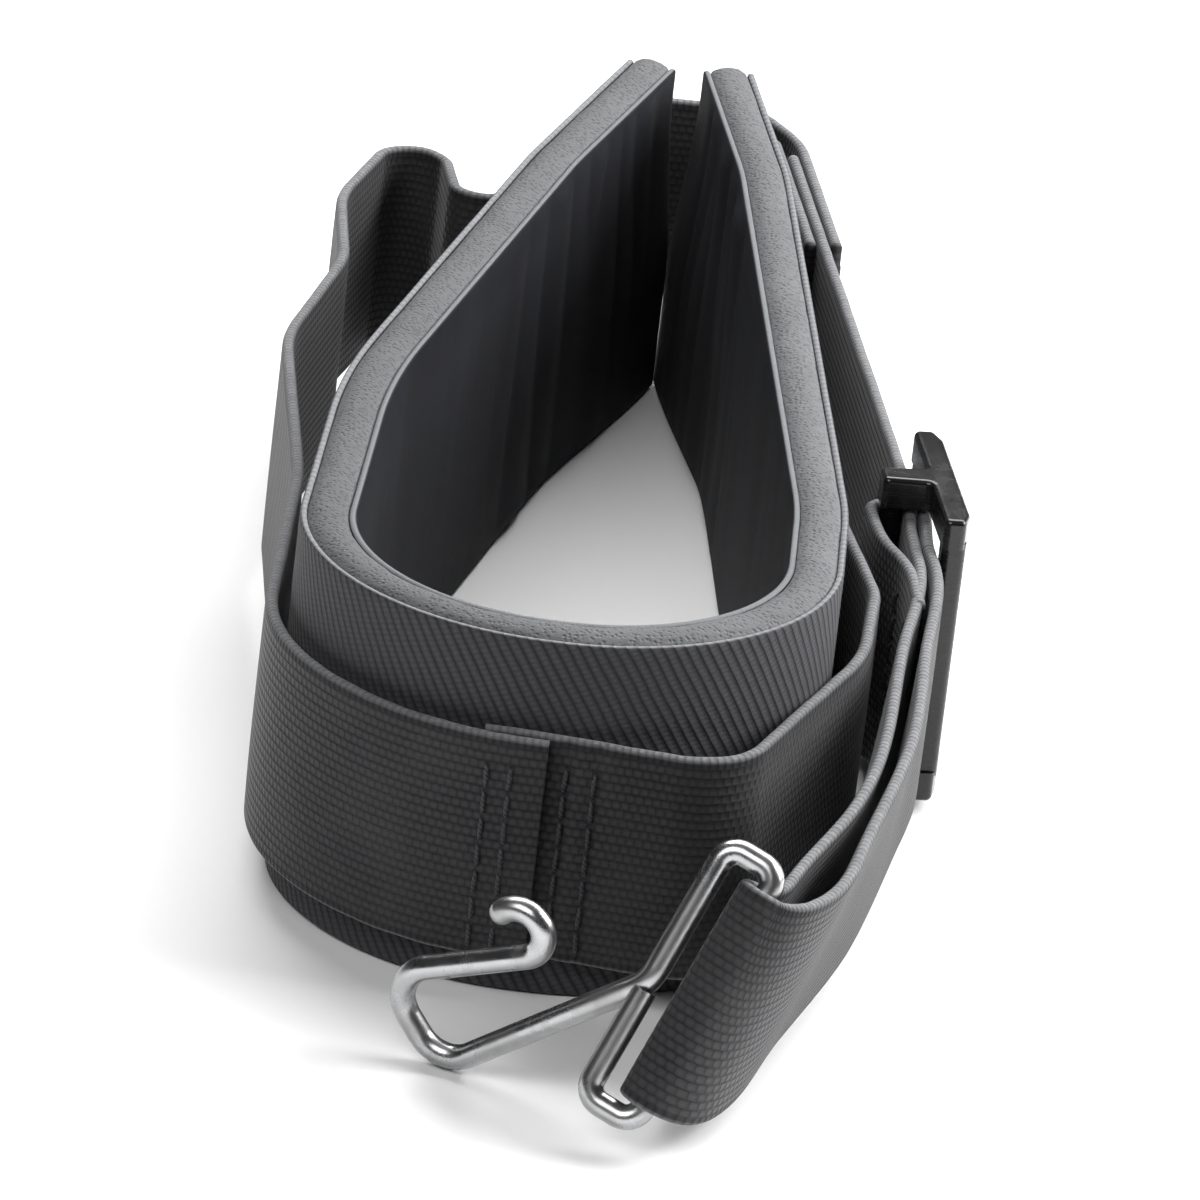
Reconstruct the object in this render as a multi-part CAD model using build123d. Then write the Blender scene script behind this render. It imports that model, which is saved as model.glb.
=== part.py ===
"""Saxophone neck strap: padded collar curled on its edge, webbing legs, slider and wire hook.

Units are millimetres, +Z is up.  The strap stands on the long edge of its pad.  Every outline
below is drawn in one working plan (+Y from the front of the pad to its pinched ends) and the
finished solids are moved by STAND so that the middle of the whole object is at the origin.
"""
from build123d import *
import math
import os

# ---- driving dimensions -------------------------------------------------------------------
STAND = Location((-7.61, -1.68, 0.0))   # working plan to object frame

PAD_HEIGHT = 40.0
SKIN = 0.8                              # outer facing and inner lining
FOAM = 4.4
SKIN_LIFT = 0.3                         # the skins are cut this much short of the foam edge

WEB = 1.4                               # webbing thickness
WEB_WIDTH = 25.0
WEB_FLOOR = 5.0                         # height of the webbing's lower edge
WEB_MID = WEB_FLOOR + WEB_WIDTH / 2

THREAD = 0.5                            # sewing thread diameter
STITCH = 2.2                            # length of one stitch
STITCH_PITCH = 3.0

SLIDER_LENGTH = 25.0
SLIDER_RAIL = 3.4
SLIDER_BAR = 3.0
SLIDER_HEIGHT = WEB_WIDTH + 1.2 + 2 * SLIDER_RAIL

HOOK_WIRE = 2.6
LOOP_SPAN = WEB_WIDTH + 1.4 + HOOK_WIRE # between the loop's two short sides
LOOP_DEPTH = 5.8                        # between its inner and outer bars
LOOP_BEND = 1.9
NECK_BEND = 3.5
BOWL_BEND = 4.0
HOOK_LENGTH = 28.0                      # neck to toe
HOOK_PITCH = 11.4                       # toe to heel
HOOK_RETURN = 17.0                      # heel to the start of the curled tip
RETURN_LEAN = math.radians(14.5)        # the return arm closes towards the shank
CURL_RADIUS = 2.7
CURL_TURN = math.radians(205)

# ---- plan outlines ------------------------------------------------------------------------
PAD_MID = [(5.0, 96.5), (-4.2, 63.0), (-19.8, -8.0), (-21.6, -70.2),
           (30.2, -70.2), (30.1, -30.0), (19.6, 66.0), (14.0, 97.0)]
PAD_RADII = [90, 120, 25, 25, 80, 90]

LEFT_LEG = [(5.2, -75.9), (-25.7, -75.9), (-25.8, -14.0), (-30.4, 25.0), (-26.0, 50.0),
            (-28.0, 69.0), (-24.0, 86.0), (-17.4, 86.0), (-14.0, 68.0), (-6.0, 81.0),
            (-1.8, 95.0), (3.6, 111.8), (17.3, 112.6)]
LEFT_RADII = [30.4, 70, 30, 22, 22, 4.0, 4.0, 3.4, 14, 60, 5.5, 6.5, 20]

RIGHT_LEG = [(-1.5, -73.6), (5.0, -74.05), (24.5, -76.4), (36.2, -44.0), (36.8, -27.0),
             (32.3, -8.0), (27.9, 30.0), (26.0, 55.0), (21.4, 84.0)]
RIGHT_RADII = [60, 8, 32, 14, 30, 60, 34, 90]

# the three webbings lie face to face along this line where they are sewn together
JOINT_START = Vector(20.6, 101.0, 0)
RUN = Vector(0.175, -1, 0).normalized()  # from the sewn joint towards the hook
OUTWARD = Vector(1, 0.175, 0).normalized()
LAYER = WEB + 0.1
JOINT_LENGTH = 30.0
SLIDER_AT = 106.0                       # from the joint to the middle of the slider

# out-of-plane places in the slider, measured from the webbing that runs through it
BAR_OUT = 2.4                           # its two outer bars
CENTRE_BAR = 2.4                        # diameter of the bar inside the hem
HEM_RADIUS = CENTRE_BAR / 2 + 0.25 + WEB / 2
HEM_CENTRE = -2.8
OVER_BAR = 0.85                         # how far the webbing rises over the wrapped bar
BAND_OUT = -1.6                         # the band coming back from the hook
HEM_LENGTH = 25.0

# rows of the centre-front seam in plan, on the surface of the webbing they go through
CENTRE_ROWS = [(-0.8, -76.95), (1.6, -77.15), (7.2, -75.3), (10.2, -75.7)]

# ---- hook end -----------------------------------------------------------------------------
BAR_AXIS = Vector(0.3927, 0.2909, 0.8727).normalized()
OUTER_BAR = Vector(18.9, -101.5, 18.0)  # middle of the loop's outer bar
LOOP_OUT = Vector(-0.903, 0.301, 0.306).normalized()
INNER_BAR = OUTER_BAR - LOOP_OUT * LOOP_DEPTH
NECK = OUTER_BAR - BAR_AXIS * 1.3
HOOK_RUN = Vector(-0.720, 0.340, -0.605).normalized()
HOOK_SIDE = Vector(-0.596, 0.143, 0.790)
HOOK_SIDE = (HOOK_SIDE - HOOK_RUN * HOOK_SIDE.dot(HOOK_RUN)).normalized()
FOLD_RUN = Vector(0.80, 0.36, -0.48).normalized()
FOLD_SIDE = BAR_AXIS.cross(FOLD_RUN).normalized()
FOLD_RADIUS = HOOK_WIRE / 2 + 0.3 + WEB / 2

OUTER_RUN = [(42.2, -38.0, 17.2), (39.8, -62.0, 16.2), (34.8, -84.0, 14.8), (30.2, -99.0, 14.3)]
INNER_RUN = [(27.8, -93.0, 14.4), (33.0, -79.0, 15.2), (37.2, -60.0, 16.2), (39.7, -38.0, 17.2)]


def save(name, shape):
    """Write one node, moved to the object's frame."""
    shape = STAND * shape
    shape.label = name
    export_step(shape, f"parts/{name}.step")


def upright_band(points, radii, thickness, low, high):
    """Strip of constant thickness standing on its edge along a filleted plan outline."""
    outline = FilletPolyline(*points, radius=radii)
    return extrude(Pos(0, 0, low) * trace(outline, line_width=thickness), high - low)


def plan(spot):
    """The X and Y of a point."""
    return spot.X, spot.Y


def beside(points, radii, distance):
    """The filleted outline moved sideways, to the left of its direction if positive."""
    spots = [Vector(*point) for point in points]
    runs = [(b - a).normalized() for a, b in zip(spots, spots[1:])]
    up = Vector(0, 0, 1)
    before = [runs[0]] + runs
    after = runs + [runs[-1]]
    moved = []
    for spot, first, second in zip(spots, before, after):
        corner = up.cross(first) + up.cross(second)
        moved.append(plan(spot + corner * (distance / (1 + first.dot(second)))))
    turns = [first.cross(second).Z for first, second in zip(runs, runs[1:])]
    return moved, [r - distance * math.copysign(1, turn) for r, turn in zip(radii, turns)]


def along_joint(distance, layers, height=0.0):
    """Point on the sewn joint's line: distance towards the hook, layers outward."""
    return JOINT_START + RUN * distance + OUTWARD * (layers * LAYER) + Vector(0, 0, height)


def in_slider(run, out, height=0.0):
    """Point in the slider's own axes: run towards the hook, out away from the pad."""
    return along_joint(SLIDER_AT + run, 1) + OUTWARD * out + Vector(0, 0, height)


# ---- pad ----------------------------------------------------------------------------------
def pad_foam_core():
    return upright_band(PAD_MID, PAD_RADII, FOAM, 0, PAD_HEIGHT)


def pad_skin(side):
    """Fabric on one face of the foam: side is -1 outside the curl and +1 inside it."""
    points, radii = beside(PAD_MID, PAD_RADII, side * (FOAM + SKIN) / 2)
    return upright_band(points, radii, SKIN, SKIN_LIFT, PAD_HEIGHT - SKIN_LIFT)


# ---- webbing ------------------------------------------------------------------------------
def left_leg_webbing():
    """From the front seam, round the pad's left side and behind its ends, to the joint."""
    points = LEFT_LEG + [plan(along_joint(-2, 2)), plan(along_joint(JOINT_LENGTH, 2))]
    return upright_band(points, LEFT_RADII, WEB, WEB_FLOOR, WEB_FLOOR + WEB_WIDTH)


def right_leg_webbing():
    """From the front seam back along the right side, folded on itself into the joint."""
    fold = [plan(along_joint(-2, -1.4)), plan(along_joint(-2, 0)),
            plan(along_joint(JOINT_LENGTH, 0))]
    return upright_band(RIGHT_LEG + fold, RIGHT_RADII + [0.95, 0.95], WEB,
                        WEB_FLOOR, WEB_FLOOR + WEB_WIDTH)


def section(centre, tangent, width_axis):
    """Rectangular cross-section of the webbing at one station of its route."""
    across = (width_axis - tangent * width_axis.dot(tangent)).normalized()
    plane = Plane(origin=centre, x_dir=across, z_dir=tangent)
    return plane * Rectangle(WEB_WIDTH, WEB)


def leaning(amount):
    """Width direction of the webbing: upright at 0, along the hook's bar at 1."""
    return (Vector(0, 0, 1) * (1 - amount) + BAR_AXIS * amount).normalized()


def curved_run(points, start, end, lean_from, lean_to, count):
    """Stations (centre, tangent, width direction) along a spline through the points."""
    line = Spline(*points, tangents=[start, end])
    stations = []
    for i in range(count + 1):
        u = i / count
        ease = u * u * (3 - 2 * u)
        lean = leaning(lean_from + (lean_to - lean_from) * ease)
        stations.append((line @ u, (line % u).normalized(), lean))
    return stations


def loop_stations(count):
    """Half turn of the webbing round the inner bar, from its outer to its pad side."""
    stations = []
    for i in range(count + 1):
        turn = math.pi * i / count
        spoke = FOLD_SIDE * -math.cos(turn) - FOLD_RUN * math.sin(turn)
        heading = FOLD_SIDE * math.sin(turn) - FOLD_RUN * math.cos(turn)
        stations.append((INNER_BAR + spoke * FOLD_RADIUS, heading, BAR_AXIS))
    return stations


def drop_webbing():
    """From the joint through the slider, round the hook's bar and back to a sewn hem."""
    up = Vector(0, 0, 1)
    mid = WEB_MID
    over = [(-16.0, 0.0), (-8.0, 0.1), (0.0, OVER_BAR), (8.0, 0.1), (14.0, 0.0)]
    rear = [along_joint(3.0, 1, mid)] + [in_slider(run, out, mid) for run, out in over]
    outer_start = rear[-1]
    stations = [(rear[0], RUN, up)]
    stations += curved_run(rear[1:], RUN, RUN, 0, 0, 16)
    loop = loop_stations(12)
    outer = [outer_start] + [Vector(*p) for p in OUTER_RUN] + [loop[0][0]]
    stations += curved_run(outer, RUN, FOLD_RUN * -1, 0, 1, 36)[1:-1]
    stations += loop
    band_end = in_slider(12.0, BAND_OUT, mid)
    inner = [loop[-1][0]] + [Vector(*p) for p in INNER_RUN] + [band_end]
    stations += curved_run(inner, FOLD_RUN, RUN * -1, 1, 0, 36)[1:]
    stations += hem_stations(up)
    return loft([section(*s) for s in stations], ruled=True)


def hem_stations(up):
    """The band wraps the slider's centre bar and its cut end lies along the band."""
    mid = WEB_MID
    stations = [(in_slider(5.0, BAND_OUT + 0.35, mid), RUN * -1, up)]
    for i in range(13):
        turn = math.pi * i / 12
        centre = in_slider(-HEM_RADIUS * math.sin(turn),
                           HEM_CENTRE + HEM_RADIUS * math.cos(turn), mid)
        heading = RUN * -math.cos(turn) - OUTWARD * math.sin(turn)
        stations.append((centre, heading, up))
    stations.append((in_slider(9.0, BAND_OUT - 1.9 * LAYER, mid), RUN, up))
    stations.append((in_slider(14.0, BAND_OUT - LAYER, mid), RUN, up))
    stations.append((in_slider(HEM_LENGTH, BAND_OUT - LAYER, mid), RUN, up))
    return stations


# ---- slider -------------------------------------------------------------------------------
def slider():
    """One-piece moulded slider: two rails with a nose each, two outer bars, a recessed centre bar."""
    half = SLIDER_LENGTH / 2
    profile = make_face(Polyline(
        (-half, 1.0), (-2.0, 1.0), (-1.7, -4.2), (1.7, -4.2), (2.0, 1.0), (half, 1.0),
        (half, 3.2), (half - 2.5, 4.0), (-half + 2.5, 4.0), (-half, 3.2), close=True))
    rail = extrude(fillet(profile.vertices(), 0.7), SLIDER_RAIL)
    lower = fillet(rail.edges().group_by(Axis.Z)[0], 0.6)
    upper = Pos(0, 0, SLIDER_HEIGHT - SLIDER_RAIL) * fillet(rail.edges().group_by(Axis.Z)[-1], 0.6)
    edge = half - 1.9
    length = SLIDER_HEIGHT - 2 * SLIDER_RAIL + 1.0
    side_bar = extrude(RectangleRounded(SLIDER_BAR, 2.6, 0.8), length)
    centre_bar = extrude(Circle(CENTRE_BAR / 2), length)
    body = lower + upper
    body += Pos(-edge, BAR_OUT, SLIDER_RAIL - 0.5) * side_bar
    body += Pos(edge, BAR_OUT, SLIDER_RAIL - 0.5) * side_bar
    body += Pos(0, HEM_CENTRE, SLIDER_RAIL - 0.5) * centre_bar
    low = WEB_MID - SLIDER_HEIGHT / 2
    return Plane(origin=in_slider(0, 0, low), x_dir=RUN, z_dir=Vector(0, 0, 1)) * body


# ---- hook end -----------------------------------------------------------------------------
def bent_wire(points, radii):
    """Edges of a wire that is straight between the points and bent at each inner one."""
    edges = []
    here = points[0]
    for before, corner, after, radius in zip(points, points[1:], points[2:], radii):
        heading = (corner - before).normalized()
        leaving = (after - corner).normalized()
        half_turn = math.radians(heading.get_angle(leaving)) / 2
        reach = radius * math.tan(half_turn)
        inward = (leaving - heading).normalized() * (radius / math.cos(half_turn) - radius)
        edges.append(Line(here, corner - heading * reach))
        here = corner + leaving * reach
        edges.append(ThreePointArc(corner - heading * reach, corner + inward, here))
    return edges + [Line(here, points[-1])]


def wire_hook():
    """One bent wire: a loop closed by brazing at the neck, a shank, a bowl and a curled tip."""
    half = BAR_AXIS * (LOOP_SPAN / 2)
    toe = NECK + HOOK_RUN * HOOK_LENGTH
    heel = toe + HOOK_SIDE * HOOK_PITCH
    back = HOOK_RUN * -math.cos(RETURN_LEAN) - HOOK_SIDE * math.sin(RETURN_LEAN)
    spread = HOOK_SIDE * math.cos(RETURN_LEAN) - HOOK_RUN * math.sin(RETURN_LEAN)
    lip = heel + back * HOOK_RETURN

    def on_curl(turn):
        return lip + (spread * (1 - math.cos(turn)) + back * math.sin(turn)) * CURL_RADIUS

    cut_end = NECK - BAR_AXIS * 3.3
    edges = bent_wire([cut_end, OUTER_BAR - half, INNER_BAR - half, INNER_BAR + half,
                       OUTER_BAR + half, NECK, toe, heel, lip],
                      [LOOP_BEND] * 4 + [NECK_BEND, BOWL_BEND, BOWL_BEND])
    tip = on_curl(CURL_TURN)
    edges.append(ThreePointArc(lip, on_curl(CURL_TURN / 2), tip))
    stock = Circle(HOOK_WIRE / 2)
    wire = sweep(Plane(origin=cut_end, z_dir=BAR_AXIS * -1) * stock, path=Wire(edges))
    braze = extrude(Plane(origin=cut_end - BAR_AXIS * 0.5, z_dir=BAR_AXIS) * stock, 2.8)
    return wire + braze + Pos(*tip) * Sphere(HOOK_WIRE / 2)


# ---- sewing -------------------------------------------------------------------------------
def stitch_row(start, direction, length):
    """Separate stitches end to end along a straight line."""
    count = int(length / STITCH_PITCH) + 1
    one = extrude(Circle(THREAD / 2), STITCH)
    stitches = []
    for i in range(count):
        origin = start + direction * (i * STITCH_PITCH)
        stitches.append(Plane(origin=origin, z_dir=direction) * one)
    return stitches


def upright_row(x, y):
    """A row of stitches across the webbing's width at one place in plan."""
    low = Vector(x, y, WEB_FLOOR + 1.4)
    return stitch_row(low, Vector(0, 0, 1), WEB_WIDTH - 2.8 - STITCH)


def seam_row(index):
    """Centre-front rows: two through the left leg's end, two through the right leg."""
    x, y = CENTRE_ROWS[index]
    return Compound(children=upright_row(x, y))


def joint_box(layers):
    """Box of stitches on one face of the sewn joint."""
    proud = WEB / 2 + THREAD / 2 + 0.02
    step = proud if layers > 0 else -proud
    sides = []
    for distance in (3.6, JOINT_LENGTH - 2.4):
        spot = along_joint(distance, layers) + OUTWARD * step
        sides += upright_row(spot.X, spot.Y)
    for height in (WEB_FLOOR + 2.6, WEB_FLOOR + WEB_WIDTH - 2.6):
        start = along_joint(4.6, layers, height) + OUTWARD * step
        sides += stitch_row(start, RUN, JOINT_LENGTH - 8.4 - STITCH)
    return Compound(children=sides)


def hem_row(run):
    """Row through the hem, on the cut end's pad side."""
    spot = in_slider(run, BAND_OUT - LAYER - WEB / 2 - THREAD / 2 - 0.02)
    return Compound(children=upright_row(spot.X, spot.Y))


# ---- build --------------------------------------------------------------------------------
os.makedirs("parts", exist_ok=True)
save("pad_foam_core", pad_foam_core())
save("pad_outer_facing", pad_skin(-1))
save("pad_inner_lining", pad_skin(1))
save("left_leg_webbing", left_leg_webbing())
save("right_leg_webbing", right_leg_webbing())
save("drop_webbing", drop_webbing())
save("slider", slider())
save("wire_hook", wire_hook())
for index in range(len(CENTRE_ROWS)):
    save(f"centre_seam_row_{index + 1}", seam_row(index))
save("joint_outer_stitching", joint_box(2))
save("joint_inner_stitching", joint_box(0))
save("hem_front_row", hem_row(HEM_LENGTH - 2.5))
save("hem_rear_row", hem_row(15.5))
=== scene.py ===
"""Looks of a saxophone neck strap: padded collar, webbing legs, slider and wire hook."""

import math
import random

import bpy
import numpy as np
from mathutils import Matrix, Vector, noise


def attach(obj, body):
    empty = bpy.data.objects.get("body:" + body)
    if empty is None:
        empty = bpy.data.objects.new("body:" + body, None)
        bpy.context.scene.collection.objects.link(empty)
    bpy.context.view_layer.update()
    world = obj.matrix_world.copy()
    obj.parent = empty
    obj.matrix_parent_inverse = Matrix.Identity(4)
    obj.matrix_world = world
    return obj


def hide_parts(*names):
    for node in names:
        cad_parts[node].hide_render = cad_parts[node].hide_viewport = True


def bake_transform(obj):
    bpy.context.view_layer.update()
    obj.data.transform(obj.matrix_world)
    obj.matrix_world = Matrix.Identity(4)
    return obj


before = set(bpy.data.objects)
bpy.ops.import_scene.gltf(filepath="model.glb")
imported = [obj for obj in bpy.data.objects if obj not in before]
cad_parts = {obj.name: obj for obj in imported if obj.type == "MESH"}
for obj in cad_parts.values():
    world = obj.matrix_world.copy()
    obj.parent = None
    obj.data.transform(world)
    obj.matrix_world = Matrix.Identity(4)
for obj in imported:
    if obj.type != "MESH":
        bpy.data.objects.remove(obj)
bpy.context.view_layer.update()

MM = 0.001
UP = Vector((0, 0, 1))
SHIFT = Vector((-7.61, -1.68, 0))       # working plan to row frame, as in part.py (mm)
random.seed(7)

# ---- the strap's own dimensions, in millimetres, as in part.py ----------------------------------
PAD_HEIGHT, FOAM, SKIN, SKIN_LIFT = 40.0, 4.4, 0.8, 0.3
WEB, WEB_WIDTH, WEB_FLOOR = 1.4, 25.0, 5.0
WEB_MID = WEB_FLOOR + WEB_WIDTH / 2
STITCH, STITCH_PITCH, THREAD = 2.2, 3.0, 0.5
LAYER = WEB + 0.1
JOINT_LENGTH, SLIDER_AT = 30.0, 106.0
CENTRE_BAR, OVER_BAR, BAND_OUT, HEM_CENTRE, HEM_LENGTH = 2.4, 0.85, -1.6, -2.8, 25.0
HEM_RADIUS = CENTRE_BAR / 2 + 0.25 + WEB / 2
HOOK_WIRE, LOOP_DEPTH = 2.6, 5.8
FOLD_RADIUS = HOOK_WIRE / 2 + 0.3 + WEB / 2
SLIDER_REAR, SLIDER_FRONT = -16.0, 14.0  # where the webbing's bump over the slider begins and ends
DROP_START, DROP_STEP = 3.0, 0.5         # the drop webbing's cut end in the joint, station spacing
DROP_SPLIT = 52                          # station of over_slider() where its two pieces meet
REAR_LENGTH = 113.0                      # of the rear piece; the weave runs on from there
SEWING_EDGE, THREAD_GAP = 1.4, 0.02      # from a stitch to the webbing's edge and to its face
SEAM_Y = -76.0                           # where the two legs are sewn together at the front
PINCH = 1.62                             # how far each end of the pad leans in at the bottom
EDGE_STEPS, HALF_TURN_STEPS = 6, 24

PAD_MID = [(5.0, 96.5), (-4.2, 63.0), (-19.8, -8.0), (-21.6, -70.2),
           (30.2, -70.2), (30.1, -30.0), (19.6, 66.0), (14.0, 97.0)]
PAD_RADII = [90, 120, 25, 25, 80, 90]
LEFT_LEG = [(5.2, -75.9), (-25.7, -75.9), (-25.8, -14.0), (-30.4, 25.0), (-26.0, 50.0),
            (-28.0, 69.0), (-24.0, 86.0), (-17.4, 86.0), (-14.0, 68.0), (-6.0, 81.0),
            (-1.8, 95.0), (3.6, 111.8), (17.3, 112.6)]
LEFT_RADII = [30.4, 70, 30, 22, 22, 4.0, 4.0, 3.4, 14, 60, 5.5, 6.5, 20]
RIGHT_LEG = [(-1.5, -73.6), (5.0, -74.05), (24.5, -76.4), (36.2, -44.0), (36.8, -27.0),
             (32.3, -8.0), (27.9, 30.0), (26.0, 55.0), (21.4, 84.0)]
RIGHT_RADII = [60, 8, 32, 14, 30, 60, 34, 90, 0.95, 0.95]
CENTRE_ROWS = [(-0.8, -76.38), (1.6, -76.71), (7.2, -75.3), (10.2, -75.7)]

JOINT_START = Vector((20.6, 101.0, 0))
RUN = Vector((0.175, -1, 0)).normalized()
OUTWARD = Vector((1, 0.175, 0)).normalized()
BAR_AXIS = Vector((0.3927, 0.2909, 0.8727)).normalized()
OUTER_BAR = Vector((18.9, -101.5, 18.0))
LOOP_OUT = Vector((-0.903, 0.301, 0.306)).normalized()
INNER_BAR = OUTER_BAR - LOOP_OUT * LOOP_DEPTH
FOLD_RUN = Vector((0.80, 0.36, -0.48)).normalized()
FOLD_SIDE = BAR_AXIS.cross(FOLD_RUN).normalized()
OUTER_RUN = [(42.2, -38.0, 17.2), (39.8, -62.0, 16.2), (34.8, -84.0, 14.8), (30.2, -99.0, 14.3)]
INNER_RUN = [(27.8, -93.0, 14.4), (33.0, -79.0, 15.2), (37.2, -60.0, 16.2), (39.7, -38.0, 17.2)]


def along_joint(distance, layers, height=0.0):
    """A point of the sewn joint: distance along it, layers of webbing outward."""
    return JOINT_START + RUN * distance + OUTWARD * (layers * LAYER) + UP * height


def in_slider(run, out, height=0.0):
    """A point near the slider, from its middle: run towards the hook, out from the pad."""
    return along_joint(SLIDER_AT + run, 1) + OUTWARD * out + UP * height


def place(spot):
    """A point of the working plan, in the row frame."""
    return (spot + SHIFT) * MM


def flat(spot):
    return spot.x, spot.y


# ---- routes -------------------------------------------------------------------------------------
def beside(points, radii, distance):
    """A rounded outline moved sideways, to the left of its direction if positive."""
    spots = [Vector((x, y, 0)) for x, y in points]
    runs = [(b - a).normalized() for a, b in zip(spots, spots[1:])]
    moved = []
    for spot, first, second in zip(spots, [runs[0]] + runs, runs + [runs[-1]]):
        corner = UP.cross(first) + UP.cross(second)
        moved.append(flat(spot + corner * (distance / (1 + first.dot(second)))))
    turns = [first.cross(second).z for first, second in zip(runs, runs[1:])]
    return moved, [r - distance * math.copysign(1, turn) for r, turn in zip(radii, turns)]


def rounded(points, radii, step=0.5):
    """(point, heading) every step or closer along an outline with rounded corners."""
    spots = [Vector((x, y, 0)) for x, y in points]
    route = []

    def straight(a, b):
        count = max(1, math.ceil((b - a).length / step))
        heading = (b - a).normalized()
        route.extend((a + (b - a) * (i / count), heading) for i in range(count))

    here = spots[0]
    for before, corner, after, radius in zip(spots, spots[1:], spots[2:], radii):
        first, second = (corner - before).normalized(), (after - corner).normalized()
        side = math.copysign(1, first.cross(second).z)
        turn = first.angle(second)
        reach = radius * math.tan(turn / 2)
        start = corner - first * reach
        straight(here, start)
        spoke = UP.cross(first) * side * -radius
        count = max(3, math.ceil(radius * turn / min(step, radius * 0.2)))
        for i in range(count):
            spin = Matrix.Rotation(side * turn * i / count, 3, "Z")
            route.append((start - spoke + spin @ spoke, spin @ first))
        here = corner + second * reach
    straight(here, spots[-1])
    return route + [(spots[-1], (spots[-1] - spots[-2]).normalized())]


def upright(route, height):
    """Stations (centre, heading, width direction) of a band that stands on its edge."""
    return [(spot + UP * height, heading, UP) for spot, heading in route]


def spline(points, start, end, count):
    """Smooth curve through the points with set end headings: (point, heading) pairs."""
    knots = np.array([tuple(p) for p in points], float)
    chord = np.linalg.norm(np.diff(knots, axis=0), axis=1)
    n = len(knots)
    system = np.zeros((n, n))
    right = np.zeros((n, 3))
    system[0, 0] = system[-1, -1] = 1
    right[0], right[-1] = tuple(start), tuple(end)
    for i in range(1, n - 1):
        a, b = chord[i - 1], chord[i]
        system[i, i - 1:i + 2] = b, 2 * (a + b), a
        right[i] = 3 * (b / a * (knots[i] - knots[i - 1]) + a / b * (knots[i + 1] - knots[i]))
    slopes = np.linalg.solve(system, right)
    at = np.concatenate([[0], np.cumsum(chord)])
    curve = []
    for s in np.linspace(0, at[-1], count + 1):
        i = min(int(np.searchsorted(at, s, side="right")) - 1, n - 2)
        h = chord[i]
        t = (s - at[i]) / h
        spot = ((2 * t**3 - 3 * t**2 + 1) * knots[i] + (t**3 - 2 * t**2 + t) * h * slopes[i]
                + (3 * t**2 - 2 * t**3) * knots[i + 1] + (t**3 - t**2) * h * slopes[i + 1])
        heading = ((6 * t**2 - 6 * t) / h * (knots[i] - knots[i + 1])
                   + (3 * t**2 - 4 * t + 1) * slopes[i] + (3 * t**2 - 2 * t) * slopes[i + 1])
        curve.append((Vector(spot), Vector(heading).normalized()))
    return curve


def leaned(curve, lean_from, lean_to):
    """Adds the width direction: upright at 0 and along the hook's bar at 1."""
    stations = []
    for i, (spot, heading) in enumerate(curve):
        u = i / (len(curve) - 1)
        lean = lean_from + (lean_to - lean_from) * u * u * (3 - 2 * u)
        stations.append((spot, heading, (UP * (1 - lean) + BAR_AXIS * lean).normalized()))
    return stations


def over_slider():
    """The webbing that runs straight through the slider, over the wrapped centre bar."""
    places = [(SLIDER_REAR, 0.0), (-8.0, 0.1), (0.0, OVER_BAR), (8.0, 0.1), (SLIDER_FRONT, 0.0)]
    knots = [in_slider(run, out, WEB_MID) for run, out in places]
    return leaned(spline(knots, RUN, RUN, 60), 0, 0)


def fold_stations():
    """Half a turn round the hook's inner bar."""
    stations = []
    for i in range(HALF_TURN_STEPS + 1):
        turn = math.pi * i / HALF_TURN_STEPS
        spoke = FOLD_SIDE * -math.cos(turn) - FOLD_RUN * math.sin(turn)
        heading = FOLD_SIDE * math.sin(turn) - FOLD_RUN * math.cos(turn)
        stations.append((INNER_BAR + spoke * FOLD_RADIUS, heading, BAR_AXIS))
    return stations


def hem_stations():
    """Round the slider's centre bar, and back along the band to the cut end."""
    stations = [(in_slider(5.0, BAND_OUT + 0.35, WEB_MID), RUN * -1, UP)]
    for i in range(HALF_TURN_STEPS + 1):
        turn = math.pi * i / HALF_TURN_STEPS
        spot = in_slider(-HEM_RADIUS * math.sin(turn),
                         HEM_CENTRE + HEM_RADIUS * math.cos(turn), WEB_MID)
        stations.append((spot, RUN * -math.cos(turn) - OUTWARD * math.sin(turn), UP))
    tail = [in_slider(run, out, WEB_MID) for run, out in
            ((0.0, HEM_CENTRE - HEM_RADIUS), (9.0, BAND_OUT - 1.9 * LAYER),
             (14.0, BAND_OUT - LAYER - 0.1), (HEM_LENGTH, BAND_OUT - LAYER))]
    return stations + leaned(spline(tail, RUN, RUN, 50), 0, 0)[1:]


def drop_rear():
    """From the joint of the legs to just past the slider's middle."""
    count = round((SLIDER_AT + SLIDER_REAR - DROP_START) / DROP_STEP)
    start = [(along_joint(DROP_START + DROP_STEP * i, 1, WEB_MID), RUN, UP) for i in range(count)]
    return start + over_slider()[:DROP_SPLIT + 1]


def drop_front():
    """From there out to the hook, round its bar, and back to the hem in the slider."""
    fold = fold_stations()
    outer = [in_slider(SLIDER_FRONT, 0.0, WEB_MID)] + [Vector(p) for p in OUTER_RUN] + [fold[0][0]]
    inner = ([fold[-1][0]] + [Vector(p) for p in INNER_RUN]
             + [in_slider(12.0, BAND_OUT, WEB_MID)])
    out_run = leaned(spline(outer, RUN, FOLD_RUN * -1, 180), 0, 1)
    back_run = leaned(spline(inner, FOLD_RUN, RUN * -1, 180), 1, 0)
    return over_slider()[DROP_SPLIT:] + out_run[1:-1] + fold + back_run[1:] + hem_stations()


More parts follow.
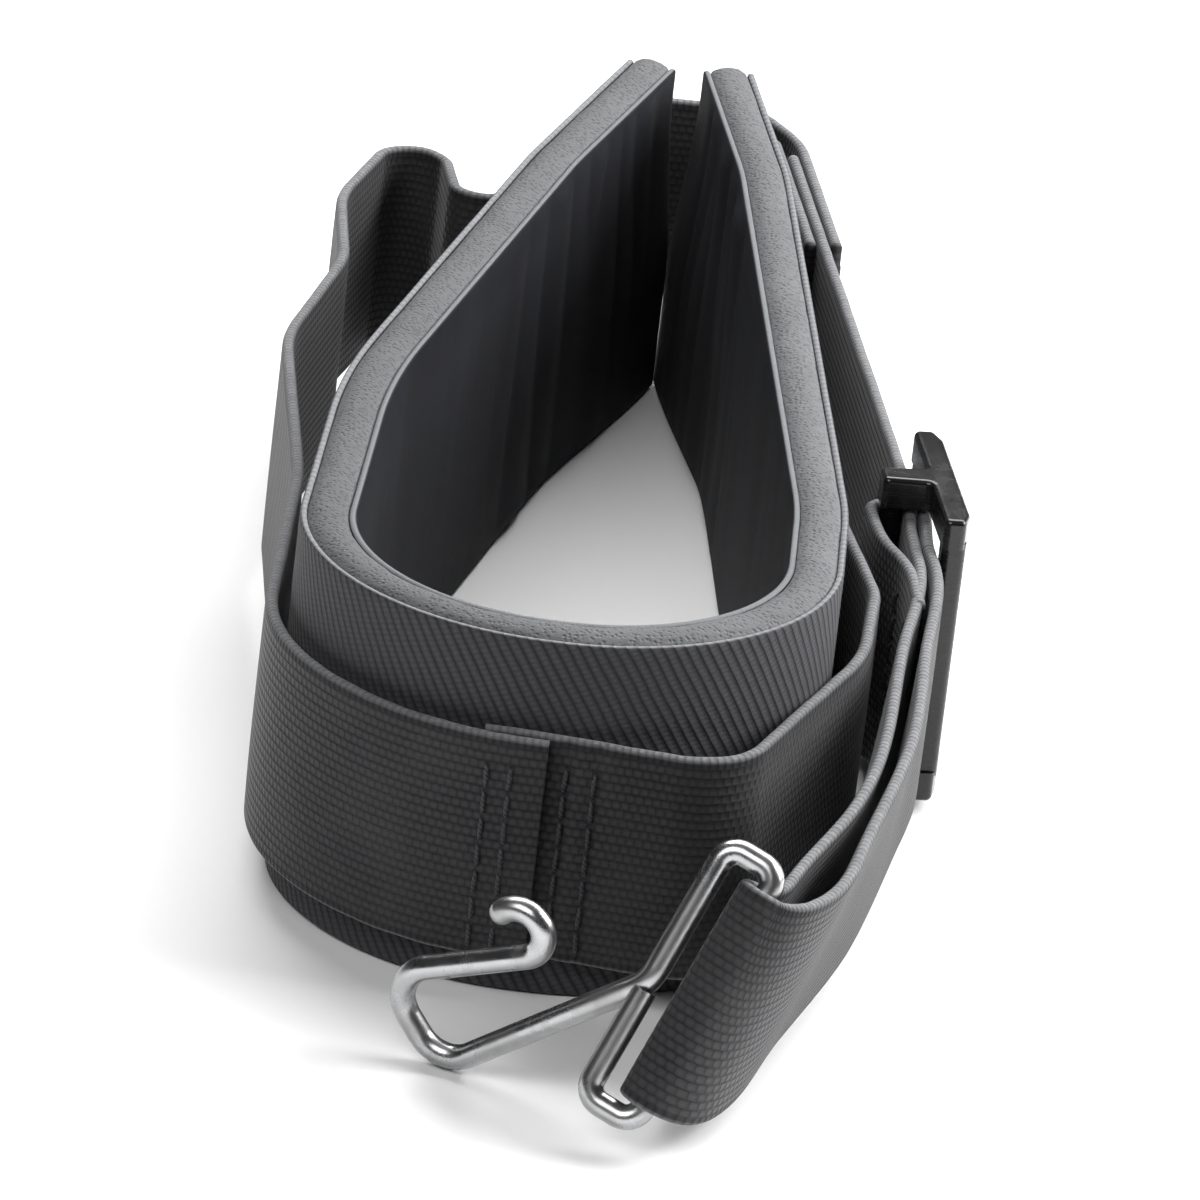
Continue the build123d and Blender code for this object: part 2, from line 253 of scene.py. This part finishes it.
# ---- meshes -------------------------------------------------------------------------------------
def new_piece(name, verts, faces, uvs, extras, material):
    """Mesh object in the row frame, smooth, with a UV map in metres and float attributes."""
    mesh = bpy.data.meshes.new(name)
    mesh.from_pydata(verts, [], faces)
    layer = mesh.uv_layers.new(name="cloth")
    corner = [0] * len(mesh.loops)
    mesh.loops.foreach_get("vertex_index", corner)
    layer.data.foreach_set("uv", [c for v in corner for c in uvs[v]])
    for label, values in extras.items():
        mesh.attributes.new(label, "FLOAT", "POINT").data.foreach_set("value", values)
    mesh.polygons.foreach_set("use_smooth", [True] * len(mesh.polygons))
    mesh.materials.append(material)
    mesh.update()
    piece = bpy.data.objects.new(name, mesh)
    bpy.context.scene.collection.objects.link(piece)
    return piece


def ribbon(name, stations, width, thickness, material, columns=24, edge=0.8, shape=None,
           start_u=0.0):
    """A woven or cut strip along the stations.

    shape(u, a, n, spot) gives how far, in mm, a point of the surface moves along the strip's
    normal and along its width.  edge is how round the strip's long edges are.
    """
    profile = []
    flat_half = width / 2 - thickness / 2 * edge
    for i in range(columns + 1):
        profile.append((-flat_half + 2 * flat_half * i / columns, 1.0))
    for i in range(1, EDGE_STEPS):
        turn = math.pi * i / EDGE_STEPS
        profile.append((flat_half + thickness / 2 * edge * math.sin(turn), math.cos(turn)))
    for i in range(columns + 1):
        profile.append((flat_half - 2 * flat_half * i / columns, -1.0))
    for i in range(1, EDGE_STEPS):
        turn = math.pi * i / EDGE_STEPS
        profile.append((-flat_half - thickness / 2 * edge * math.sin(turn), -math.cos(turn)))
    verts, uvs, span, depth = [], [], [], []
    u = start_u
    previous = stations[0][0]
    for spot, heading, wide in stations:
        u += (spot - previous).length
        previous = spot
        across = (wide - heading * wide.dot(heading)).normalized()
        normal = heading.cross(across)
        for a, n in profile:
            lift, slip = shape(u, a, n, spot) if shape else (0.0, 0.0)
            point = spot + across * (a + slip) + normal * (n * thickness / 2 + lift)
            verts.append(place(point))
            uvs.append((u * MM, a * MM))
            span.append(a / (width / 2))
            depth.append(n)
    ring = len(profile)
    faces = []
    for i in range(len(stations) - 1):
        for k in range(ring):
            a, b = i * ring + k, i * ring + (k + 1) % ring
            faces.append((a, b, b + ring, a + ring))
    faces.append(tuple(range(ring))[::-1])
    faces.append(tuple(range(len(verts) - ring, len(verts))))
    return new_piece(name, verts, faces, uvs, {"span": span, "depth": depth}, material)


def tubes(name, strands, radius, material):
    """Short lengths of thread: each strand is a list of points, in millimetres."""
    verts, faces, uvs = [], [], []
    sides = 8
    for strand in strands:
        base = len(verts)
        for i, spot in enumerate(strand):
            ahead = strand[min(i + 1, len(strand) - 1)] - strand[max(i - 1, 0)]
            heading = ahead.normalized()
            one = heading.orthogonal().normalized()
            two = heading.cross(one)
            swell = radius * (0.78 + 0.22 * math.sin(math.pi * i / (len(strand) - 1)))
            for k in range(sides):
                turn = math.tau * k / sides
                verts.append(place(spot + (one * math.cos(turn) + two * math.sin(turn)) * swell))
                uvs.append((i * 0.28 * MM, k / sides * MM))
        for i in range(len(strand) - 1):
            for k in range(sides):
                a, b = base + i * sides + k, base + i * sides + (k + 1) % sides
                faces.append((a, b, b + sides, a + sides))
        faces.append(tuple(range(base, base + sides))[::-1])
        faces.append(tuple(range(len(verts) - sides, len(verts))))
    return new_piece(name, verts, faces, uvs, {}, material)


def stitch(start, heading, away):
    """One stitch: it comes up through the webbing, lies on it and goes down again."""
    strand = []
    steps, overrun, sink = 8, 0.12, 0.34
    tilt = heading.cross(away) * random.uniform(-0.07, 0.07)
    for i in range(steps + 1):
        t = i / steps
        rise = 0.02 - sink * abs(2 * t - 1) ** 5
        reach = -overrun + (STITCH + 2 * overrun) * t
        strand.append(start + heading * reach + away * rise + tilt * (2 * t - 1))
    return strand


def stitch_line(start, heading, length, away):
    count = int(length / STITCH_PITCH) + 1
    return [stitch(start + heading * (i * STITCH_PITCH), heading, away) for i in range(count)]


def upright_line(x, y, away):
    """A row of stitches across the webbing's width."""
    start = Vector((x, y, WEB_FLOOR + SEWING_EDGE))
    return stitch_line(start, UP, WEB_WIDTH - 2 * SEWING_EDGE - STITCH, away)


def joint_box(layers):
    """The box of sewing on one face of the joint of the three webbings."""
    away = OUTWARD if layers > 0 else OUTWARD * -1
    proud = away * (WEB / 2 + THREAD / 2 + THREAD_GAP)
    first, last, inset = 3.6, JOINT_LENGTH - 2.4, 2.6
    strands = []
    for distance in (first, last):
        spot = along_joint(distance, layers) + proud
        strands += upright_line(spot.x, spot.y, away)
    for height in (WEB_FLOOR + inset, WEB_FLOOR + WEB_WIDTH - inset):
        start = along_joint(first + 1.0, layers, height) + proud
        strands += stitch_line(start, RUN, JOINT_LENGTH - 8.4 - STITCH, away)
    return strands


def hem_line(run):
    """A row of sewing through the hem, on its inner face."""
    spot = in_slider(run, BAND_OUT - LAYER - WEB / 2 - THREAD / 2 - THREAD_GAP)
    return upright_line(spot.x, spot.y, OUTWARD * -1)


# ---- materials ----------------------------------------------------------------------------------
class Graph:
    """Short ways to write one material's nodes."""

    def __init__(self, name):
        self.material = bpy.data.materials.new(name)
        self.material.use_nodes = True
        self.tree = self.material.node_tree
        self.shader = self.tree.nodes["Principled BSDF"]

    def add(self, kind, values=(), **settings):
        node = self.tree.nodes.new(kind)
        for key, value in settings.items():
            setattr(node, key, value)
        for key, value in dict(values).items():
            self.put(value, node.inputs[key])
        return node

    def put(self, value, socket):
        if isinstance(value, bpy.types.NodeSocket):
            self.tree.links.new(value, socket)
        else:
            socket.default_value = value

    def cut_edge(self, body, grain, shade):
        """The pale laminate that shows along a skin's cut upper edge."""
        edge = self.ramp(self.attribute("span"), 0.985, 0.992)
        cut = self.mix(grain, (0.11, 0.113, 0.118), (0.235, 0.24, 0.25))
        return self.mix(self.math("MULTIPLY", edge, shade), body, cut)

    def math(self, operation, *values):
        return self.add("ShaderNodeMath", enumerate(values), operation=operation).outputs[0]

    def noise(self, coordinate, scale, detail=3.0, roughness=0.55):
        return self.add("ShaderNodeTexNoise", {"Vector": coordinate, "Scale": scale,
                                               "Detail": detail, "Roughness": roughness}).outputs[0]

    def ramp(self, value, low, high, to_low=0.0, to_high=1.0):
        node = self.add("ShaderNodeMapRange", {"Value": value, "From Min": low, "From Max": high,
                                               "To Min": to_low, "To Max": to_high})
        return node.outputs[0]

    def mix(self, share, one, two):
        node = self.add("ShaderNodeMix", data_type="RGBA")
        self.put(share, node.inputs[0])
        self.put((*one, 1) if isinstance(one, tuple) else one, node.inputs[6])
        self.put((*two, 1) if isinstance(two, tuple) else two, node.inputs[7])
        return node.outputs[2]

    def attribute(self, name):
        return self.add("ShaderNodeAttribute", attribute_name=name).outputs["Fac"]

    def uv(self):
        """Length and width coordinates in millimetres."""
        split = self.add("ShaderNodeSeparateXYZ", {0: self.add("ShaderNodeUVMap").outputs[0]})
        return (self.math("MULTIPLY", split.outputs[0], 1000.0),
                self.math("MULTIPLY", split.outputs[1], 1000.0))

    def vector(self, x, y, z=0.0):
        return self.add("ShaderNodeCombineXYZ", {0: x, 1: y, 2: z}).outputs[0]

    def object_mm(self):
        where = self.add("ShaderNodeTexCoord").outputs["Object"]
        return self.add("ShaderNodeVectorMath", {0: where, 1: (1000.0,) * 3},
                        operation="MULTIPLY").outputs[0]

    def wave(self, value, pitch):
        """|sin| with one bump per pitch."""
        return self.math("ABSOLUTE", self.math("SINE", self.math("MULTIPLY", value,
                                                                 math.pi / pitch)))

    def bump(self, height, depth_mm):
        node = self.add("ShaderNodeBump", {"Strength": 1.0, "Distance": depth_mm * MM,
                                           "Height": height})
        return node.outputs[0]

    def finish(self, colour, roughness, normal, **fixed):
        self.put(colour, self.shader.inputs["Base Color"])
        self.put(roughness, self.shader.inputs["Roughness"])
        self.put(normal, self.shader.inputs["Normal"])
        for key, value in fixed.items():
            self.shader.inputs[key.replace("_", " ")].default_value = value
        return self.material


def webbing_material():
    """Black flat webbing: weft ribs across it, crossed by columns of warp, tight selvages, and a
    painted highlight that makes both long edges pale.
    """
    g = Graph("black_webbing")
    u, v = g.uv()
    rib_pitch, warp_pitch = 0.92, 0.96
    across = g.math("ADD", v, 50.0)
    column = g.math("MODULO", g.math("FLOOR", g.math("DIVIDE", across, warp_pitch)), 2.0)
    shifted = g.math("ADD", u, g.math("MULTIPLY", column, rib_pitch / 2))
    rib = g.math("POWER", g.wave(shifted, rib_pitch), 0.7)
    warp = g.math("POWER", g.wave(across, warp_pitch), 0.6)
    from_middle = g.math("ABSOLUTE", g.attribute("span"))
    selvage = g.ramp(from_middle, 0.90, 0.935)
    plain = g.math("MULTIPLY", warp, g.math("ADD", 0.45, g.math("MULTIPLY", rib, 0.55)))
    tight = g.math("MULTIPLY", g.wave(u, 0.8), 0.45)
    height = g.add("ShaderNodeMix", {0: selvage, 2: plain, 3: tight}).outputs[0]
    fibre = g.noise(g.vector(g.math("MULTIPLY", u, 0.7), g.math("MULTIPLY", v, 4.0)), 1.6, 4.0)
    patch = g.noise(g.vector(u, v), 0.09, 3.0)
    lint = g.ramp(g.noise(g.vector(u, v), 1.1, 2.0), 0.74, 0.80)
    body = g.mix(g.math("MULTIPLY", height, g.ramp(fibre, 0.25, 0.75, 0.55, 1.0)),
                 (0.004, 0.004, 0.005), (0.034, 0.034, 0.037))
    body = g.mix(g.ramp(patch, 0.35, 0.7, 0.0, 0.35), body, (0.040, 0.039, 0.041))
    body = g.mix(g.math("MULTIPLY", lint, 0.12), body, (0.16, 0.16, 0.16))
    # Painted highlight: both long edges of the webbing are lightened to pale grey, standing in for
    # light catching the edges.
    rim = g.ramp(from_middle, 0.955, 0.995, 0.0, 0.85)
    painted_edge_highlight = g.mix(g.math("MULTIPLY", fibre, g.math("ADD", tight, 0.6)),
                   (0.06, 0.061, 0.064), (0.29, 0.295, 0.305))
    body = g.mix(rim, body, painted_edge_highlight)
    relief = g.math("ADD", height, g.math("MULTIPLY", fibre, 0.35))
    return g.finish(body, g.ramp(height, 0.0, 1.0, 0.86, 0.58), g.bump(relief, 0.14),
                    Specular_IOR_Level=0.25, Sheen_Weight=0.17, Sheen_Roughness=0.35)


def facing_material():
    """Outer twill: fine diagonal cords, with the pale laminate showing along the cut edge."""
    g = Graph("twill_facing")
    u, v = g.uv()
    slant = g.math("ADD", u, g.math("MULTIPLY", v, 0.62))
    drift = g.math("MULTIPLY", g.noise(g.vector(u, v), 0.12, 2.0), 0.5)
    cord = g.math("POWER", g.wave(g.math("ADD", slant, drift), 1.25), 0.8)
    cross = g.wave(g.math("SUBTRACT", v, g.math("MULTIPLY", u, 0.35)), 0.62)
    height = g.math("MULTIPLY", cord, g.math("ADD", 0.7, g.math("MULTIPLY", cross, 0.3)))
    grain = g.noise(g.vector(u, v), 2.6, 4.0)
    body = g.mix(g.math("MULTIPLY", height, g.ramp(grain, 0.2, 0.8, 0.6, 1.0)),
                 (0.010, 0.010, 0.012), (0.062, 0.061, 0.067))
    lint = g.ramp(g.noise(g.vector(u, v), 0.9, 2.0), 0.76, 0.82)
    body = g.mix(g.math("MULTIPLY", lint, 0.2), body, (0.25, 0.25, 0.24))
    body = g.cut_edge(body, grain, g.ramp(g.attribute("depth"), 0.75, 0.35))
    relief = g.math("ADD", height, g.math("MULTIPLY", grain, 0.3))
    return g.finish(body, 0.82, g.bump(relief, 0.13), Specular_IOR_Level=0.25,
                    Sheen_Weight=0.06, Sheen_Roughness=0.5)


def lining_material():
    """Inner lining: smooth fine knit with soft creases where the pad is pinched, and pale upright
    streaks painted as highlights on them.
    """
    g = Graph("knit_lining")
    u, v = g.uv()
    stretched = g.vector(u, g.math("MULTIPLY", v, 0.12))
    soft = g.noise(stretched, 0.11, 3.0)
    loops = g.math("MULTIPLY", g.wave(u, 0.42), g.wave(g.math("ADD", v, g.wave(u, 0.42)), 0.5))
    grain = g.noise(g.vector(u, v), 3.0, 3.0)
    body = g.mix(g.math("MULTIPLY", loops, g.ramp(grain, 0.2, 0.8, 0.5, 1.0)),
                 (0.004, 0.0042, 0.0058), (0.012, 0.0125, 0.0165))
    # Painted highlight: pale upright streaks in the colour stand in for light on the lining's
    # creases; the same noise also gives the creases' bump below.
    body = g.mix(g.ramp(soft, 0.4, 0.75, 0.0, 0.5), body, (0.016, 0.0165, 0.022))
    body = g.cut_edge(body, grain, g.ramp(g.attribute("depth"), -0.75, -0.35))
    relief = g.math("ADD", g.math("MULTIPLY", loops, 0.12), soft)
    return g.finish(body, 0.75, g.bump(relief, 0.35), Specular_IOR_Level=0.14,
                    Sheen_Weight=0.02, Sheen_Roughness=0.4)


def foam_material():
    """Cut closed-cell foam: pale grey, open pores, a slightly crushed lighter rim, and painted shade
    that darkens it towards the left side.
    """
    g = Graph("grey_foam")
    where = g.object_mm()
    cells = g.add("ShaderNodeTexVoronoi", {"Vector": where, "Scale": 1.9}).outputs[0]
    small = g.noise(where, 1.4, 5.0, 0.7)
    large = g.noise(where, 0.12, 3.0)
    rim = g.ramp(g.math("ABSOLUTE", g.attribute("depth")), 0.72, 0.98)
    body = g.mix(g.ramp(cells, 0.05, 0.45), (0.072, 0.073, 0.077), (0.125, 0.127, 0.132))
    body = g.mix(g.ramp(small, 0.35, 0.7, 0.0, 0.6), body, (0.160, 0.162, 0.167))
    body = g.mix(g.ramp(large, 0.4, 0.7, 0.0, 0.4), body, (0.095, 0.096, 0.100))
    body = g.mix(g.math("MULTIPLY", rim, 0.5), body, (0.195, 0.198, 0.205))
    # Painted shade: the foam is darkened towards negative x, standing in for the weaker light on the
    # left side of the strap.
    painted_left_shade = g.ramp(g.add("ShaderNodeSeparateXYZ", {0: where}).outputs[0], -34.0, 34.0, 0.45, 0.0)
    body = g.mix(painted_left_shade, body, (0.040, 0.040, 0.042))
    relief = g.math("ADD", g.ramp(cells, 0.0, 0.5), g.math("MULTIPLY", small, 0.8))
    return g.finish(body, 0.93, g.bump(relief, 0.18), Specular_IOR_Level=0.2,
                    Sheen_Weight=0.05, Sheen_Roughness=0.6)


def thread_material():
    """Black twisted sewing thread, slightly furry."""
    g = Graph("black_thread")
    u, v = g.uv()
    ply = g.wave(g.math("ADD", u, g.math("MULTIPLY", v, 0.9)), 0.45)
    fuzz = g.noise(g.object_mm(), 6.0, 3.0)
    body = g.mix(g.math("MULTIPLY", ply, g.ramp(fuzz, 0.3, 0.7, 0.6, 1.0)),
                 (0.006, 0.006, 0.007), (0.05, 0.05, 0.056))
    return g.finish(body, 0.5, g.bump(ply, 0.08), Specular_IOR_Level=0.35, Sheen_Weight=0.05)


def slider_material():
    """Glossy black moulding: faint flow marks, rubbed edges and fine scratches."""
    g = Graph("glossy_black_plastic")
    where = g.object_mm()
    flow = g.noise(where, 0.25, 2.0)
    scratch = g.noise(g.add("ShaderNodeVectorMath", {0: where, 1: (0.3, 0.3, 6.0)},
                            operation="MULTIPLY").outputs[0], 1.2, 4.0)
    worn = g.ramp(g.add("ShaderNodeNewGeometry").outputs["Pointiness"], 0.53, 0.60)
    body = g.mix(g.math("MULTIPLY", worn, g.ramp(scratch, 0.4, 0.6)),
                 (0.006, 0.006, 0.006), (0.035, 0.034, 0.034))
    rough = g.math("ADD", g.ramp(flow, 0.3, 0.7, 0.20, 0.27),
                   g.math("MULTIPLY", g.ramp(scratch, 0.45, 0.7), 0.07))
    relief = g.math("ADD", flow, g.math("MULTIPLY", scratch, 0.03))
    return g.finish(body, rough, g.bump(relief, 0.03), Specular_IOR_Level=0.4,
                    Coat_Weight=0.15, Coat_Roughness=0.2)


def nickel_material():
    """Bright nickel plate on bent wire: drawing marks, dulled patches, a little tarnish."""
    g = Graph("nickel_wire")
    where = g.object_mm()
    cloud = g.noise(where, 0.16, 4.0)
    fine = g.noise(where, 3.5, 4.0)
    body = g.mix(g.ramp(cloud, 0.42, 0.72), (0.44, 0.445, 0.455), (0.28, 0.275, 0.27))
    body = g.mix(g.ramp(fine, 0.60, 0.75, 0.0, 0.35), body, (0.30, 0.29, 0.28))
    rough = g.math("ADD", g.ramp(cloud, 0.35, 0.7, 0.20, 0.36), g.math("MULTIPLY", fine, 0.06))
    return g.finish(body, rough, g.bump(g.math("ADD", fine, cloud), 0.008), Metallic=1.0)


def floor_material():
    """Plain pale table top."""
    g = Graph("pale_table")
    where = g.object_mm()
    tone = g.noise(where, 0.01, 2.0)
    grain = g.noise(where, 1.2, 3.0)
    return g.finish(g.mix(tone, (0.86, 0.86, 0.86), (0.90, 0.90, 0.895)), 0.7, g.bump(grain, 0.02))


# ---- how each strip departs from a perfect one ----------------------------------------------------
def smooth_step(x, low, high):
    """0 below low, 1 above high, with level ends."""
    t = min(1.0, max(0.0, (x - low) / (high - low)))
    return t * t * (3 - 2 * t)


def near_joint(spot):
    """1 where webbings lie face to face, with no room to wave."""
    reach = (spot - along_joint(14.0, 1)).xy.length
    return 1 - smooth_step(reach, 20.0, 34.0)


def webbing_shape(rows=()):
    """Slight waves and uneven edges, and a groove pulled in along each row of stitches."""
    half = WEB_WIDTH / 2

    def shape(u, a, n, spot):
        calm = max(near_joint(spot), 1 - smooth_step(abs(spot.y - SEAM_Y), 4.0, 14.0))
        wave = 0.10 * noise.noise(Vector((u * 0.05, a * 0.06, 1.7))) * (1 - calm)
        crown = -0.05 * n * (a / half) ** 4
        groove = 0.0
        for x, y in rows:
            gap = (Vector((x, y, 0)) - spot).xy.length - 0.9
            if abs(gap) < 2:
                groove += 0.22 * math.exp(-(gap / 0.35) ** 2) * max(0.0, n)
        edge = smooth_step(abs(a), half - 0.9, half)
        uneven = 0.10 * edge * noise.noise(Vector((u * 0.3, math.copysign(4, a), 0.4)))
        return wave + crown - groove, uneven
    return shape


def pinched(a, spot):
    """The pad's ends lean together at the bottom."""
    return -PINCH * smooth_step(spot.y, 55.0, 94.0) * (1 - smooth_step(a, -6.0, 17.0))


def foam_shape(u, a, n, spot):
    """A slightly domed and uneven cut edge, on top only."""
    top = smooth_step(abs(a), 18.0, 20.0)
    crown = 0.28 * (1 - n * n) * top * math.copysign(1, a)
    rough = 0.16 * noise.noise(Vector((u * 0.22, n * 1.5, math.copysign(3, a)))) * top
    lift = crown + rough if a > 0 else 0.0
    return pinched(a, spot), lift


def lining_shape(u, a, n, spot):
    """Soft upright creases, only on the side that faces the neck."""
    inner = smooth_step(-n, 0.0, 1.0) * (1 - smooth_step(abs(a), 17.5, 19.7))
    pinch = smooth_step(spot.y, 20.0, 60.0) * (1 - smooth_step(spot.y, 84.0, 93.0))
    fold = noise.noise(Vector((u * 0.11, a * 0.018, 5.1)))
    ripple = noise.noise(Vector((u * 0.05, a * 0.02, 9.3)))
    free = 1 - smooth_step(spot.y, 80.0, 92.0)
    crease = inner * (1.5 * pinch * abs(fold) + 0.25 * free * (ripple + 0.5))
    return pinched(a, spot) - crease, 0.0


def facing_shape(u, a, n, spot):
    """Faint dents on the outer face."""
    soft = 0.04 * max(0.0, n) * (1 + noise.noise(Vector((u * 0.08, a * 0.08, 2.0))))
    return pinched(a, spot) - soft, 0.0


# ---- pieces -------------------------------------------------------------------------------------
black_webbing = webbing_material()
thread = thread_material()

foam = ribbon("pad_foam", upright(rounded(PAD_MID, PAD_RADII), PAD_HEIGHT / 2), PAD_HEIGHT, FOAM,
              foam_material(), columns=20, edge=0.35, shape=foam_shape)
skins = []
for name, side, material, shape in (("pad_facing", -1, facing_material(), facing_shape),
                                    ("pad_lining", 1, lining_material(), lining_shape)):
    points, radii = beside(PAD_MID, PAD_RADII, side * (FOAM + SKIN) / 2)
    skins.append(ribbon(name, upright(rounded(points, radii), PAD_HEIGHT / 2),
                        PAD_HEIGHT - 2 * SKIN_LIFT, SKIN, material, columns=40, shape=shape))


def webbing(name, stations, rows=(), start_u=0.0):
    return ribbon(name, stations, WEB_WIDTH, WEB, black_webbing, shape=webbing_shape(rows),
                  start_u=start_u)


left_end = [flat(along_joint(-2, 2)), flat(along_joint(JOINT_LENGTH, 2))]
right_end = [flat(along_joint(-2, -1.4)), flat(along_joint(-2, 0)),
             flat(along_joint(JOINT_LENGTH, 0))]
left_route = rounded(LEFT_LEG + left_end, LEFT_RADII, step=0.25)
right_route = rounded(RIGHT_LEG + right_end, RIGHT_RADII, step=0.25)
left_leg = webbing("left_leg", upright(left_route, WEB_MID), CENTRE_ROWS[:2])
right_leg = webbing("right_leg", upright(right_route, WEB_MID), CENTRE_ROWS[2:])
rear = webbing("drop_webbing_rear", drop_rear())
front = webbing("drop_webbing_front", drop_front(), start_u=REAR_LENGTH)

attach(foam, "strap")
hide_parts("pad_foam_core")
for piece, node, slot in zip(skins, ("pad_outer_facing", "pad_inner_lining"),
                             ("pad_facing", "pad_lining")):
    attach(piece, "strap")
    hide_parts(node)
for piece, node in ((left_leg, "left_leg_webbing"), (right_leg, "right_leg_webbing")):
    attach(piece, "strap")
    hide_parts(node)
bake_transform(rear)
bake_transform(front)
for piece in (rear, front):
    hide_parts("drop_webbing")

FRONT = Vector((0, -1, 0))
sewing = [(f"centre_seam_row_{i + 1}", upright_line(x, y, FRONT), "strap")
          for i, (x, y) in enumerate(CENTRE_ROWS)]
sewing += [("joint_outer_stitching", joint_box(2), "strap"),
           ("joint_inner_stitching", joint_box(0), "strap"),
           ("hem_front_row", hem_line(HEM_LENGTH - 2.5), "slider"),
           ("hem_rear_row", hem_line(15.5), "slider")]
for node, strands, body in sewing:
    piece = tubes("sewn_" + node, strands, THREAD / 2, thread)
    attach(piece, body)
    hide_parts(node)

for node, material in (("slider", slider_material()), ("wire_hook", nickel_material())):
    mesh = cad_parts[node].data
    mesh.materials.clear()
    mesh.materials.append(material)

# ---- table, light and camera --------------------------------------------------------------------
bpy.ops.mesh.primitive_plane_add(size=8)
table = bpy.context.object
table.name = "table_top"
table.data.materials.append(floor_material())


def softbox(name, spot, aim, size, power):
    """White rectangular lamp at spot, turned to aim; metres and watts."""
    light = bpy.data.lights.new(name, "AREA")
    light.shape = "RECTANGLE"
    light.size, light.size_y = size
    light.energy = power
    lamp = bpy.data.objects.new(name, light)
    lamp.location = spot
    lamp.rotation_euler = (Vector(aim) - Vector(spot)).to_track_quat("-Z", "Y").to_euler()
    bpy.context.scene.collection.objects.link(lamp)


softbox("overhead", (0.10, 0.75, 1.0), (0, 0, 0), (1.6, 0.8), 30)
softbox("right_side", (0.80, 0.15, 0.50), (0, 0, 0.02), (0.6, 0.6), 16)
softbox("front_left", (-0.45, -0.9, 1.0), (0, 0, 0.02), (1.0, 0.7), 11)



def studio_world():
    """Soft light that fades from bright behind and above the strap to dim in front of it."""
    world = bpy.data.worlds.new("studio")
    world.use_nodes = True
    tree = world.node_tree
    where = tree.nodes.new("ShaderNodeTexCoord")
    lit_side = tree.nodes.new("ShaderNodeVectorMath")
    lit_side.operation = "DOT_PRODUCT"
    lit_side.inputs[1].default_value = (0.25, 0.55, 0.80)
    fade = tree.nodes.new("ShaderNodeMapRange")
    for label, value in (("From Min", -0.1), ("From Max", 0.9), ("To Min", 0.10), ("To Max", 0.95)):
        fade.inputs[label].default_value = value
    tree.links.new(where.outputs["Generated"], lit_side.inputs[0])
    tree.links.new(lit_side.outputs["Value"], fade.inputs[0])
    tree.links.new(fade.outputs[0], tree.nodes["Background"].inputs["Strength"])
    return world


def main_camera(spot, aim, roll):
    """Long lens from spot towards aim, rolled by so many degrees."""
    data = bpy.data.cameras.new("camera")
    data.lens = 328
    data.clip_start, data.clip_end = 0.05, 20
    camera = bpy.data.objects.new("camera", data)
    bpy.context.scene.collection.objects.link(camera)
    camera.location = spot
    look = (Vector(aim) - camera.location).to_track_quat("-Z", "Y")
    camera.rotation_mode = "QUATERNION"
    camera.rotation_quaternion = look @ Matrix.Rotation(math.radians(roll), 3, "Z").to_quaternion()
    return camera


bpy.context.scene.world = studio_world()
bpy.context.scene.view_settings.view_transform = "Standard"
bpy.context.scene.camera = main_camera((0.0147, -1.0919, 0.4833), (0, -0.003, 0.014), 6.7)
